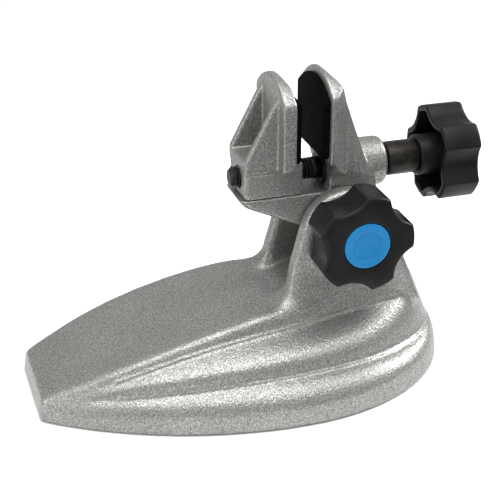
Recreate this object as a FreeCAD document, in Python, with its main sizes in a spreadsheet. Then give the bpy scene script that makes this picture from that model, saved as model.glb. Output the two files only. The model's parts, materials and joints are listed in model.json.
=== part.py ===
import FreeCAD, Part
import math
import os
import Sketcher
from FreeCAD import Placement, Rotation, Vector

# A bench stand that holds a micrometer by its frame. A heavy cast base carries a forked column, a cast head tilts in
# the fork, and a screw draws a sliding jaw along the head's arm towards a fixed jaw.
# Frame: +Z up, the base's narrow nose towards -X, the tilt knob towards -Y. The origin is on the underside, directly
# below the tilt axis.

SIZES = {
    # base casting
    "base_nose": 115.7,
    "base_rear": 41.0,
    "base_widest": 25.0,
    "base_half_width": 50.3,
    "nose_half_width": 19.3,
    "nose_height": 8.3,
    "rim_height": 10.8,
    "rim_inset": 1.5,
    "plateau_height": 32.2,
    "plateau_start": 32.0,
    "crown_height": 40.0,
    "relief_depth": 8.0,
    "relief_wall": 10.0,
    # forked column
    "tilt_axis_height": 58.5,
    "ear_inner": 10.0,
    "ear_outer": 17.0,
    "ear_round": 16.75,
    "ear_round_setback": 1.0,
    "ear_round_height": 55.8,
    # tilting head
    "clamp_axis_height": 76.0,
    "head_half_width": 9.5,
    "arm_nose": 39.0,
    "arm_top": 70.0,
    "lug_radius": 13.0,
    "fixed_jaw_front": 7.7,
    "jaw_half_width": 16.0,
    "jaw_shoulder": 106.8,
    "jaw_peak": 119.7,
    "crown_radius": 20.7,
    "jaw_top": 113.8,
    "boss_radius": 9.0,
    "boss_end": 17.8,
    # sliding jaw
    "slide_clearance": 0.1,
    "block_nose": 37.0,
    "block_back": 15.5,
    "plate_front": 25.0,
    "plate_back": 20.1,
    "rib_half_width": 10.3,
    "recess_half_width": 7.4,
    # pads
    "pad_thickness": 2.2,
    "pad_margin": 1.5,
    "pad_bevel": 0.6,
    # clamp screw and its sleeve
    "screw_radius": 3.95,
    "bore_radius": 4.0,
    "screw_tip": 40.1,
    "sleeve_radius": 6.25,
    "sleeve_start": 18.9,
    "sleeve_length": 12.3,
    "retainer_radius": 6.0,
    "retainer_width": 1.2,
    "trunk_front": 5.4,
    # both knobs
    "knob_radius": 18.0,
    "knob_depth": 14.4,
    "knob_wall": 2.4,
    "knob_hollow": 10.5,
    "hub_radius": 7.5,
    "scallop_radius": 11.65,
    "scallop_depth": 3.3,
    "insert_radius": 5.2,
    "cap_radius": 8.6,
    "cap_seat": 1.6,
    "clamp_hub_length": 4.9,
    "tilt_hub_length": 1.0,
    # tilt bolt and washers
    "bolt_radius": 3.95,
    "bolt_head_height": 5.3,
    "bolt_head_flat": 6.5,
    "washer_thickness": 1.2,
    "washer_radius": 8.2,
    "liner_thickness": 0.4,
    "liner_radius": 11.0,
}

doc = FreeCAD.newDocument("micrometer_stand")
sheet = doc.addObject("Spreadsheet::Sheet", "sizes")
for row, (alias, millimetres) in enumerate(SIZES.items(), start=1):
    sheet.set(f"A{row}", alias)
    sheet.set(f"B{row}", str(millimetres))
    sheet.setAlias(f"B{row}", alias)
doc.recompute()

size = SIZES.__getitem__
pieces = []


def finished(piece, label):
    """Name a finished sub-part and list it for export."""
    piece.Label = label
    pieces.append(piece)
    return piece


# ---------------------------------------------------------------- helpers for bodies and sketches


def new_body(name):
    return doc.addObject("PartDesign::Body", name)


def origin_plane(body, role):
    return next(item for item in body.Origin.OriginFeatures if item.Role == role)


def expand(expression):
    """Spell an expression's size names the way the sheet's aliases are read."""
    words = []
    for word in expression.split():
        name = word.lstrip("-")
        words.append(word.replace(name, "sizes." + name) if name in SIZES else word)
    return " ".join(words)


def amount(expression):
    return float(sheet.evalExpression(expand(expression)))


def sketch_on(body, role, name, offset="0"):
    """A sketch on one of the body's own planes, moved along the plane's normal by the offset."""
    sketch = body.newObject("Sketcher::SketchObject", name)
    sketch.AttachmentSupport = [(origin_plane(body, role), "")]
    sketch.MapMode = "FlatFace"
    sketch.AttachmentOffset = Placement(Vector(0, 0, amount(offset)), Rotation())
    sketch.setExpression("AttachmentOffset.Base.z", expand(offset))
    return sketch


def place_point(sketch, line, corner):
    """Tie a line's start to a corner whose two coordinates are expressions of the sheet's sizes."""
    for kind, expression in zip(("DistanceX", "DistanceY"), corner):
        constraint = sketch.addConstraint(Sketcher.Constraint(kind, -1, 1, line, 1, amount(expression)))
        sketch.setExpression(f"Constraints[{constraint}]", expand(expression))


def draw_polygon(sketch, corners):
    """A closed outline of straight lines through the corners."""
    first = sketch.GeometryCount
    spots = [Vector(amount(across), amount(up), 0) for across, up in corners]
    for start, end in zip(spots, spots[1:] + spots[:1]):
        sketch.addGeometry(Part.LineSegment(start, end), False)
    for step, corner in enumerate(corners):
        following = first + (step + 1) % len(corners)
        sketch.addConstraint(Sketcher.Constraint("Coincident", first + step, 2, following, 1))
        place_point(sketch, first + step, corner)


def draw_circle(sketch, centre, radius):
    circle = Part.Circle(Vector(amount(centre[0]), amount(centre[1]), 0), Vector(0, 0, 1), amount(radius))
    index = sketch.addGeometry(circle, False)
    for kind, expression in zip(("DistanceX", "DistanceY"), centre):
        constraint = sketch.addConstraint(Sketcher.Constraint(kind, -1, 1, index, 3, amount(expression)))
        sketch.setExpression(f"Constraints[{constraint}]", expand(expression))
    constraint = sketch.addConstraint(Sketcher.Constraint("Radius", index, amount(radius)))
    sketch.setExpression(f"Constraints[{constraint}]", expand(radius))


def extrude(body, kind, name, sketch, length, symmetric=False, reverse=False):
    """A Pad or Pocket of the sketch whose length follows the sheet."""
    feature = body.newObject(kind, name)
    feature.Profile = sketch
    feature.Length = amount(length)
    feature.setExpression("Length", expand(length))
    feature.Midplane = symmetric
    feature.Reversed = reverse
    sketch.Visibility = False
    doc.recompute()
    return feature


def pad(body, name, sketch, length, **options):
    return extrude(body, "PartDesign::Pad", name, sketch, length, **options)


def pocket(body, name, sketch, length, **options):
    before = body.Shape.Volume
    feature = extrude(body, "PartDesign::Pocket", name, sketch, length, **options)
    if body.Shape.Volume >= before:
        raise RuntimeError(name + " cuts nothing")
    return feature


def edges_through(shape, middles, tolerance=0.05):
    """Names of the straight edges whose middles are at the given points."""
    names = []
    for number, edge in enumerate(shape.Edges, start=1):
        if edge.Curve.TypeId == "Part::GeomLine":
            if any(edge.CenterOfMass.distanceToPoint(middle) < tolerance for middle in middles):
                names.append(f"Edge{number}")
    return names


def edges_along_x(shape, spots, tolerance=0.05):
    """Names of the straight edges along X that pass through the given places in the YZ plane."""
    names = []
    for number, edge in enumerate(shape.Edges, start=1):
        ends = [vertex.Point for vertex in edge.Vertexes]
        if len(ends) != 2 or abs(ends[0].x - ends[1].x) < tolerance:
            continue
        for y, z in spots:
            if all(abs(end.y - y) < tolerance and abs(end.z - z) < tolerance for end in ends):
                names.append(f"Edge{number}")
    return names


def circles_at(shape, axis, position, radius, tolerance=0.05):
    """Names of the round edges of a radius that lie across an axis at a position."""
    names = []
    for number, edge in enumerate(shape.Edges, start=1):
        curve = edge.Curve
        if curve.TypeId == "Part::GeomCircle" and abs(curve.Radius - radius) < tolerance:
            if abs(curve.Center[axis] - position) < tolerance:
                names.append(f"Edge{number}")
    return names


def dress(body, kind, name, edges, amount_name, expression):
    """A Fillet or Chamfer on the named edges of the body's last feature."""
    if not edges:
        raise RuntimeError(name + " finds no edge")
    base = body.Tip
    feature = body.newObject(kind, name)
    feature.Base = (base, edges)
    setattr(feature, amount_name, amount(expression))
    feature.setExpression(amount_name, expand(expression))
    doc.recompute()
    return feature


def round_edges(body, name, edges, radius):
    return dress(body, "PartDesign::Fillet", name, edges, "Radius", radius)


def bevel_edges(body, name, edges, width):
    return dress(body, "PartDesign::Chamfer", name, edges, "Size", width)


def turned(label, outline, placement=None):
    """A turned piece: a half outline of (along the axis, radius) corners, turned about the piece's X axis."""
    body = new_body(label)
    sketch = sketch_on(body, "XZ_Plane", label + "_outline")
    draw_polygon(sketch, outline)
    turn = body.newObject("PartDesign::Revolution", label + "_turning")
    turn.Profile = sketch
    turn.ReferenceAxis = (sketch, ["H_Axis"])
    turn.Angle = 360.0
    sketch.Visibility = False
    if placement is not None:
        body.Placement = placement
    doc.recompute()
    return finished(body, label)


def ring_outline(start, end, inner, outer):
    return [(start, inner), (end, inner), (end, outer), (start, outer)]


def along_x(height):
    return Placement(Vector(0, 0, size(height)), Rotation())


def across_y():
    """The tilt axis: a turned piece's own axis points towards -Y."""
    return Placement(Vector(0, 0, size("tilt_axis_height")), Rotation(Vector(0, 0, 1), -90))


# ---------------------------------------------------------------- base casting: terraced slab


NOSE_DRAFT = 0.13
SIDE_SAG = size("base_half_width") - size("nose_half_width")
SIDE_RUN = size("base_nose") - size("base_widest")
SIDE_RADIUS = (SIDE_RUN**2 + SIDE_SAG**2) / (2 * SIDE_SAG)
REAR_RUN = size("base_rear") + size("base_widest")


def nose_x(z):
    """The nose is a flat face that leans back a little from the underside."""
    return -size("base_nose") + NOSE_DRAFT * z


def foot_half_width(x, inset=0.0):
    """Half width of the foot outline: a large side arc ahead of the widest place, a half ellipse behind it."""
    run = x + size("base_widest")
    if run <= 0:
        return size("base_half_width") - SIDE_RADIUS + math.sqrt(SIDE_RADIUS**2 - run**2) - inset
    share = min(run / (REAR_RUN - inset), 1.0)
    return (size("base_half_width") - inset) * math.sqrt(1 - share**2)


def foot_rail(inset, nose_z, body_z):
    """The outline at an inset, with its height rising from the nose to the body of the slab."""
    rail = [(nose_x(nose_z), size("nose_half_width") - inset / 3, nose_z)]
    for x in (-89.0, -65.0, -41.0, -17.0, 5.0, 25.0, 37.0):
        share = min(1.0, (x - nose_x(0)) / SIDE_RUN)
        rail.append((x, foot_half_width(x, inset), nose_z + (body_z - nose_z) * share))
    rail.append((size("base_rear") - inset, 0.0, body_z))
    return rail


def rail_from(nose, rest):
    """A rail from its half width and height at the nose, and its points behind that."""
    return [(nose_x(nose[1]), nose[0], nose[1])] + rest


# Each terrace is a petal that swells from a crease at its foot, over a broad shoulder, to a crease at its top. The
# petals run together at the nose's corner and fade into the sloping rear wall. A rail has its (x, half width, height)
# from the nose, along the near side, to the rear.
LOW_CREASE = rail_from(
    (18.6, 7.8),
    [
        (-89.0, 29.6, 11.0),
        (-65.0, 36.7, 13.5),
        (-41.0, 39.9, 14.8),
        (-17.0, 39.2, 15.0),
        (3.0, 35.2, 14.2),
        (22.0, 25.8, 13.2),
        (34.2, 13.5, 12.8),
        (38.2, 0.0, 12.8),
    ],
)
LOW_SHOULDER = rail_from(
    (18.4, 8.2),
    [
        (-89.0, 29.2, 14.2),
        (-65.0, 36.2, 18.2),
        (-41.0, 39.0, 20.6),
        (-17.0, 38.0, 21.6),
        (3.0, 33.0, 22.4),
        (20.5, 22.6, 24.2),
        (29.6, 12.0, 25.0),
        (33.4, 0.0, 25.0),
    ],
)
HIGH_CREASE = rail_from(
    (17.6, 8.25),
    [
        (-89.0, 25.7, 15.3),
        (-65.0, 27.5, 21.8),
        (-41.0, 27.1, 25.4),
        (-17.0, 24.0, 26.5),
        (3.0, 20.8, 28.0),
        (19.0, 18.3, 29.0),
        (27.4, 11.0, 30.4),
        (31.0, 0.0, 30.8),
    ],
)


def along(start, end, share):
    """The rail a share of the way from one rail to another."""
    return [tuple(a + (b - a) * share for a, b in zip(first, last)) for first, last in zip(start, end)]


def petal(low_crease, shoulder, high_crease):
    """The rails of a petal: its cross-section rounds the shoulder in a broad curve between its creases."""
    below = along(shoulder, low_crease, 0.55)
    above = along(shoulder, high_crease, 0.45)
    over = along(along(below, above, 0.5), shoulder, 0.5)
    return [low_crease, below, over, above, high_crease]


RISER_DRAFT = math.tan(math.radians(20))


def crown_rail():
    """The high riser carried on above the plateau, to be trimmed by the plateau's surface."""
    top = size("crown_height")
    rail = []
    for x, y, z in HIGH_CREASE:
        back = RISER_DRAFT * (top - z)
        if y == 0.0:
            rail.append((x - back, 0.0, top))
        else:
            rail.append((max(x, nose_x(top)), y - back, top))
    return rail


def rail_edge(points):
    """One smooth curve from the nose's near corner, round the rear, to the nose's far corner."""
    near = [Vector(x, -y, z) for x, y, z in points]
    far = [Vector(x, y, z) for x, y, z in reversed(points[:-1])]
    curve = Part.BSplineCurve()
    curve.interpolate(near + far)
    return curve.toShape()


def straight(start, end):
    return Part.LineSegment(start, end).toShape()


def smooth_face(rails):
    """One smooth surface through rails."""
    return Part.makeLoft([Part.Wire(rail_edge(rail)) for rail in rails], False, False).Faces


def runs_up_nose(edge):
    ends = [vertex.Point for vertex in edge.Vertexes]
    return len(ends) == 2 and ends[0].y * ends[1].y > 0


def slab_solid():
    foot = foot_rail(0.0, 0.0, 0.0)
    rim = foot_rail(size("rim_inset"), 7.6, size("rim_height") + 1.0)
    crown = crown_rail()
    foot_petal = petal(foot, rim, LOW_CREASE)
    high_petal = petal(LOW_CREASE, LOW_SHOULDER, HIGH_CREASE)
    skin = [foot_petal[:2], foot_petal[1:], high_petal, [HIGH_CREASE, crown]]
    faces = [face for rails in skin for face in smooth_face(rails)]
    ends = [edge for face in faces for edge in face.Edges if runs_up_nose(edge)]
    closing = []
    for rail in (foot, crown):
        x, y, z = rail[0]
        across = straight(Vector(x, y, z), Vector(x, -y, z))
        closing.append(across)
        faces.append(Part.Face(Part.Wire([rail_edge(rail), across])))
    faces.append(Part.Face(Part.Wire(Part.__sortEdges__(ends + closing))))
    shell = Part.makeShell(faces)
    shell.sewShape()
    solid = Part.makeSolid(Part.makeShell(shell.Faces))
    if solid.Volume < 0:
        solid.reverse()
    return solid


def upright_prism(outline, half_width):
    """A solid of an outline in the XZ plane, as wide as asked on both sides of it."""
    face = Part.Face(Part.Wire(outline))
    face.translate(Vector(0, -half_width, 0))
    return face.extrude(Vector(0, 2 * half_width, 0))


def in_xz(x, z):
    return Vector(x, 0, z)


def arc_through(start, middle, end):
    return Part.Arc(start, middle, end).toShape()


def plateau_prism():
    """Everything below the plateau: its top curves up from the nose and then runs level."""
    below = -1.0
    ahead = nose_x(0) - 10
    behind = size("base_rear") + 10
    nose_top = in_xz(nose_x(0), size("nose_height"))
    middle = in_xz(-74.0, 23.3)
    level = in_xz(-size("plateau_start"), size("plateau_height"))
    corners = [
        in_xz(behind, size("plateau_height")),
        in_xz(behind, below),
        in_xz(ahead, below),
        in_xz(ahead, size("nose_height")),
        nose_top,
    ]
    outline = [arc_through(nose_top, middle, level), straight(level, corners[0])]
    outline += [straight(start, end) for start, end in zip(corners, corners[1:])]
    return upright_prism(outline, size("base_half_width") + 5)


slab = doc.addObject("Part::Feature", "terraced_slab")
slab.Shape = slab_solid()
plateau = doc.addObject("Part::Feature", "plateau_cover")
plateau.Shape = plateau_prism()
trimmed_slab = doc.addObject("Part::Common", "trimmed_slab")
trimmed_slab.Base = slab
trimmed_slab.Tool = plateau


# ---------------------------------------------------------------- base casting: forked column


SWEEP_RADIUS = 9.0
EAR_FRONT_LOW = 22.2
EAR_FRONT_HIGH = in_xz(-17.2, 60.0)
REAR_SLOPE = math.radians(67.5)
COLUMN_ROOT = 24.0


def column_side(half_width):
    """The column seen from the side: a concave sweep up from the plateau, a round top and a straight rear slope."""
    level = size("plateau_height")
    sweep_start = in_xz(-EAR_FRONT_LOW - SWEEP_RADIUS, level)
    sweep_end = in_xz(-EAR_FRONT_LOW, level + SWEEP_RADIUS)
    swing = SWEEP_RADIUS * math.sqrt(0.5)
    sweep_middle = in_xz(sweep_start.x + swing, sweep_end.z - swing)
    centre = in_xz(-size("ear_round_setback"), size("ear_round_height"))
    top = centre + in_xz(0, size("ear_round"))
    rear_top = centre + in_xz(math.sin(REAR_SLOPE), math.cos(REAR_SLOPE)) * size("ear_round")
    drop = rear_top.z - COLUMN_ROOT
    rear_foot = in_xz(rear_top.x + drop / math.tan(REAR_SLOPE), COLUMN_ROOT)
    front_foot = in_xz(sweep_start.x, COLUMN_ROOT)
    outline = [
        arc_through(sweep_start, sweep_middle, sweep_end),
        straight(sweep_end, EAR_FRONT_HIGH),
        arc_through(EAR_FRONT_HIGH, top, rear_top),
        straight(rear_top, rear_foot),
        straight(rear_foot, front_foot),
        straight(front_foot, sweep_start),
    ]
    return upright_prism(outline, half_width)


def flare_section(x, foot_half_width_here, foot_z):
    """The flare seen from the front at one place along it: its sides spread from the ears to the high crease."""
    outer = size("ear_outer")
    spread = foot_half_width_here - outer
    half = [
        (foot_half_width_here, COLUMN_ROOT - 4),
        (foot_half_width_here, foot_z),
        (outer + 0.45 * spread, foot_z + 7),
        (outer + 0.1 * spread, foot_z + 13),
        (outer, foot_z + 18),
    ]
    corners = [Vector(x, -y, z) for y, z in half] + [Vector(x, y, z) for y, z in reversed(half)]
    return Part.makePolygon(corners + corners[:1])


def flare_front():
    sections = [
        flare_section(-42.0, 27.2, 25.3),
        flare_section(-17.0, 24.0, 26.3),
        flare_section(3.0, 20.8, 27.5),
        flare_section(22.0, 17.8, 28.5),
        flare_section(40.0, 17.2, 28.5),
    ]
    return Part.makeLoft(sections, True, True)


def slot_prism():
    """The gap between the ears, open at the front, the top and the rear."""
    above = size("jaw_top")
    corners = [
        in_xz(-45.0, 32.2),
        in_xz(-26.0, 32.4),
        in_xz(-12.0, 36.0),
        in_xz(12.0, 38.5),
        in_xz(60.0, 40.0),
        in_xz(60.0, above),
        in_xz(-45.0, above),
    ]
    outline = [straight(start, end) for start, end in zip(corners, corners[1:] + corners[:1])]
    return upright_prism(outline, size("ear_inner"))


column = doc.addObject("Part::Feature", "column")
column.Shape = column_side(size("ear_outer"))
outer_edges = [
    number
    for number, edge in enumerate(column.Shape.Edges, start=1)
    if abs(abs(edge.CenterOfMass.y) - size("ear_outer")) < 0.01 and edge.CenterOfMass.z > size("plateau_height") + 1
]
EAR_EDGE_ROUND = 2.4
rounded_column = doc.addObject("Part::Fillet", "rounded_column")
rounded_column.Base = column
rounded_column.Edges = [(number, EAR_EDGE_ROUND, EAR_EDGE_ROUND) for number in outer_edges]

wide_column = doc.addObject("Part::Feature", "wide_column")
wide_column.Shape = column_side(size("base_half_width"))
flare_limits = doc.addObject("Part::Feature", "flare_limits")
flare_limits.Shape = flare_front()
flare = doc.addObject("Part::Common", "flare")
flare.Base = wide_column
flare.Tool = flare_limits

solid_column = doc.addObject("Part::Fuse", "solid_column")
solid_column.Base = rounded_column
solid_column.Tool = flare
slot = doc.addObject("Part::Feature", "column_slot")
slot.Shape = slot_prism()
forked_column = doc.addObject("Part::Cut", "forked_column")
forked_column.Base = solid_column
forked_column.Tool = slot
doc.recompute()

solid_base = doc.addObject("Part::Fuse", "solid_base")
solid_base.Base = trimmed_slab
solid_base.Tool = forked_column


def relief_prism():
    """The shallow hollow in the underside of the nose half, so that the stand rests on its rim and its column."""
    front = 16.0 - size("base_nose")
    stations = [front, -80.0, -60.0, -40.0, -size("base_widest")]
    near = [Vector(x, size("relief_wall") - foot_half_width(x), 0) for x in stations]
    far = [Vector(x, foot_half_width(x) - size("relief_wall"), 0) for x in reversed(stations)]
    sides = []
    for rail in (near, far):
        curve = Part.BSplineCurve()
        curve.interpolate(rail)
        sides.append(curve.toShape())
    outline = Part.Wire([sides[0], straight(near[-1], far[0]), sides[1], straight(far[-1], near[0])])
    face = Part.Face(outline)
    face.translate(Vector(0, 0, -1))
    return face.extrude(Vector(0, 0, size("relief_depth") + 1))


relief = doc.addObject("Part::Feature", "underside_relief")
relief.Shape = relief_prism()
relieved_base = doc.addObject("Part::Cut", "relieved_base")
relieved_base.Base = solid_base
relieved_base.Tool = relief

bolt_hole = doc.addObject("Part::Cylinder", "bolt_hole")
bolt_hole.setExpression("Radius", "sizes.bore_radius")
bolt_hole.setExpression("Height", "4 * sizes.ear_outer")
bolt_hole.Placement = Placement(
    Vector(0, 2 * size("ear_outer"), size("tilt_axis_height")), Rotation(Vector(1, 0, 0), 90)
)
base_casting = doc.addObject("Part::Cut", "base_casting")
base_casting.Base = relieved_base
base_casting.Tool = bolt_hole
doc.recompute()
finished(base_casting, "base_casting")


# ---------------------------------------------------------------- swivel head


def draw_jaw_outline(sketch, low_corners, lowered):
    """A jaw seen from the front: upright sides up to the shoulders, and slopes that meet at a peak over the crown."""
    half = low_corners + [("jaw_half_width", f"jaw_shoulder - {lowered}")]
    peak = [("0", f"jaw_peak - {lowered}")]
    mirrored = [(f"0 - ( {across} )", up) for across, up in reversed(half)]
    draw_polygon(sketch, half + peak + mirrored)


def round_jaw_top(body, name, lowered):
    """Round the jaw's shoulders, and its peak down to a wide arched crown."""
    shoulder = size("jaw_shoulder") - lowered
    wide = size("jaw_half_width")
    edges = edges_along_x(body.Shape, [(wide, shoulder), (-wide, shoulder)])
    round_edges(body, name + "_shoulders", edges, "3")
    edges = edges_along_x(body.Shape, [(0, size("jaw_peak") - lowered)])
    round_edges(body, name + "_crown", edges, "crown_radius")


def make_head():
    body = new_body("swivel_head_body")
    side = sketch_on(body, "XZ_Plane", "head_side")
    draw_polygon(
        side,
        [
            ("-arm_nose", "arm_top"),
            ("-fixed_jaw_front", "arm_top"),
            ("-fixed_jaw_front", "clamp_axis_height + 8"),
            ("7.2", "clamp_axis_height + 8"),
            ("8.2", "clamp_axis_height + 4.8"),
            ("lug_radius", "arm_top"),
            ("lug_radius", "tilt_axis_height"),
            ("-12.5", "tilt_axis_height - 2.5"),
            ("-18.4", "tilt_axis_height + 0.3"),
            ("2.1 - arm_nose", "arm_top - 2.7"),
        ],
    )
    pad(body, "arm_and_trunk", side, "2 * head_half_width", symmetric=True)

    lug = sketch_on(body, "XZ_Plane", "lug_side")
    draw_circle(lug, ("0", "tilt_axis_height"), "lug_radius")
    pad(body, "lug", lug, "2 * head_half_width", symmetric=True)

    nose_middles = [
        Vector(1.05 - size("arm_nose"), hand * size("head_half_width"), size("arm_top") - 1.35) for hand in (-1, 1)
    ]
    round_edges(body, "arm_nose_corners", edges_through(body.Shape, nose_middles), "2.2")

    front = sketch_on(body, "YZ_Plane", "fixed_jaw_outline", "-fixed_jaw_front")
    draw_jaw_outline(front, [("head_half_width", "arm_top + 5.5"), ("jaw_half_width", "arm_top + 11.5")], 0)
    pad(body, "fixed_jaw", front, "fixed_jaw_front + 8.2")
    round_jaw_top(body, "fixed_jaw", 0)

    back = sketch_on(body, "XZ_Plane", "fixed_jaw_back")
    draw_polygon(
        back,
        [
            ("1.4 - fixed_jaw_front", "jaw_top + 2"),
            ("1.4 - fixed_jaw_front", "jaw_top"),
            ("-2.4", "jaw_top - 3.8"),
            ("8.2", "clamp_axis_height + 4.8"),
            ("12", "clamp_axis_height + 4.8"),
            ("12", "jaw_top + 2"),
        ],
    )
    pocket(body, "back_slope", back, "4 * jaw_half_width", symmetric=True)

    plan = sketch_on(body, "XY_Plane", "fixed_jaw_plan", "arm_top")
    for hand in ("", "-"):
        flank = [("-5.6", f"{hand}jaw_half_width"), ("0.2", f"{hand}10.1"), ("9", f"{hand}9.6")]
        outside = [(place, f"{hand}jaw_half_width * 1.2") for place in ("9", "-5.6")]
        draw_polygon(plan, flank + outside)
    pocket(body, "side_slopes", plan, "50", reverse=True)

    throat = sketch_on(body, "XZ_Plane", "throat_side")
    ends = ("-fixed_jaw_front - 1", "-trunk_front")
    low, high = "arm_top", "clamp_axis_height + retainer_radius + 0.2"
    draw_polygon(throat, [(ends[0], low), (ends[1], low), (ends[1], high), (ends[0], high)])
    pocket(body, "throat", throat, "4 * jaw_half_width", symmetric=True)

    end = sketch_on(body, "YZ_Plane", "boss_end", "0")
    draw_circle(end, ("0", "clamp_axis_height"), "boss_radius")
    pad(body, "screw_boss", end, "boss_end")
    rim = circles_at(body.Shape, 0, size("boss_end"), size("boss_radius"))
    round_edges(body, "boss_rounding", rim, "2")

    screw_hole = sketch_on(body, "YZ_Plane", "screw_hole", "-fixed_jaw_front")
    draw_circle(screw_hole, ("0", "clamp_axis_height"), "bore_radius")
    pocket(body, "screw_bore", screw_hole, "fixed_jaw_front + boss_end + 1", reverse=True)

    pivot = sketch_on(body, "XZ_Plane", "pivot_hole")
    draw_circle(pivot, ("0", "tilt_axis_height"), "bore_radius")
    pocket(body, "pivot_bore", pivot, "4 * head_half_width", symmetric=True)
    return finished(body, "swivel_head")


# ---------------------------------------------------------------- sliding jaw


SLIDING_JAW_LOWER = 1.0


def make_sliding_jaw():
    body = new_body("sliding_jaw_body")
    side = sketch_on(body, "XZ_Plane", "block_side")
    draw_polygon(
        side,
        [
            ("-block_nose", "arm_top + slide_clearance"),
            ("-block_back", "arm_top + slide_clearance"),
            ("-block_back", "arm_top + 12.5"),
            ("-plate_back", "arm_top + 12.5"),
            ("-plate_back", "arm_top + 14"),
            ("-block_nose", "arm_top + 14"),
        ],
    )
    pad(body, "lower_block", side, "2 * head_half_width", symmetric=True)
    corner_height = size("arm_top") + (14 + size("slide_clearance")) / 2
    corners = [Vector(-size("block_nose"), hand * size("head_half_width"), corner_height) for hand in (-1, 1)]
    round_edges(body, "block_corners", edges_through(body.Shape, corners), "1.5")

    outline = sketch_on(body, "YZ_Plane", "plate_outline", "-plate_front")
    draw_jaw_outline(outline, [("jaw_half_width - 2", "arm_top + 10"), ("jaw_half_width", "arm_top + 12")], 1)
    pad(body, "plate", outline, "plate_front - plate_back")
    round_jaw_top(body, "plate", SLIDING_JAW_LOWER)
    crown = sketch_on(body, "XZ_Plane", "crown_side")
    ends = ("3 - plate_front", "0.1 - plate_back")
    draw_polygon(
        crown,
        [(ends[0], "jaw_top + 1"), (ends[0], "jaw_top - 1"), (ends[1], "jaw_top - 4"), (ends[1], "jaw_top + 1")],
    )
    pocket(body, "crown_slope", crown, "4 * jaw_half_width", symmetric=True)

    rib_side = sketch_on(body, "XZ_Plane", "rib_side")
    draw_polygon(
        rib_side,
        [
            ("-block_nose", "arm_top + 10"),
            ("-block_nose", "arm_top + 14.6"),
            ("0.3 - plate_front", "jaw_top - 5.5"),
            ("3 - plate_front", "jaw_top - 5.5"),
            ("3 - plate_front", "arm_top + 10"),
        ],
    )
    pad(body, "ribs", rib_side, "2 * rib_half_width", symmetric=True)

    recess = sketch_on(body, "XZ_Plane", "recess_side")
    draw_polygon(
        recess,
        [
            ("-block_nose - 2", "arm_top + 14"),
            ("-plate_front", "arm_top + 14"),
            ("-plate_front", "jaw_top - 4"),
            ("-block_nose - 2", "jaw_top - 4"),
        ],
    )
    pocket(body, "recess", recess, "2 * recess_half_width", symmetric=True)

    screw_hole = sketch_on(body, "YZ_Plane", "jaw_screw_hole", "-block_nose - 1")
    draw_circle(screw_hole, ("0", "clamp_axis_height"), "bore_radius")
    pocket(body, "jaw_screw_bore", screw_hole, "block_nose - block_back + 2", reverse=True)
    return finished(body, "sliding_jaw")


# ---------------------------------------------------------------- jaw pads


def make_pad(label, back_face, bottom, top, peak, towards_nose):
    """A bonded pad, set in from the jaw's edges by a margin, with a bevelled front. A peak makes its top an arch."""
    body = new_body(label + "_body")
    outline = sketch_on(body, "YZ_Plane", label + "_outline", back_face)
    wide = "jaw_half_width - pad_margin"
    half = [(f"{wide} - 1.5", bottom), (wide, f"{bottom} + 1.5"), (wide, top)]
    summit = [("0", peak)] if peak else []
    mirrored = [(f"0 - ( {across} )", up) for across, up in reversed(half)]
    draw_polygon(outline, half + summit + mirrored)
    pad(body, label + "_sheet", outline, "pad_thickness", reverse=towards_nose)
    if peak:
        edges = edges_along_x(body.Shape, [(0, amount(peak))])
        round_edges(body, label + "_crown", edges, "crown_radius - pad_margin")
    step = -size("pad_thickness") if towards_nose else size("pad_thickness")
    front = amount(back_face) + step
    rim = [
        f"Edge{number}"
        for number, edge in enumerate(body.Shape.Edges, start=1)
        if all(abs(vertex.Point.x - front) < 0.01 for vertex in edge.Vertexes)
    ]
    bevel_edges(body, label + "_bevel", rim, "pad_bevel")
    return finished(body, label)


# ---------------------------------------------------------------- knobs and their inserts and caps


LOBES = 5


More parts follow.
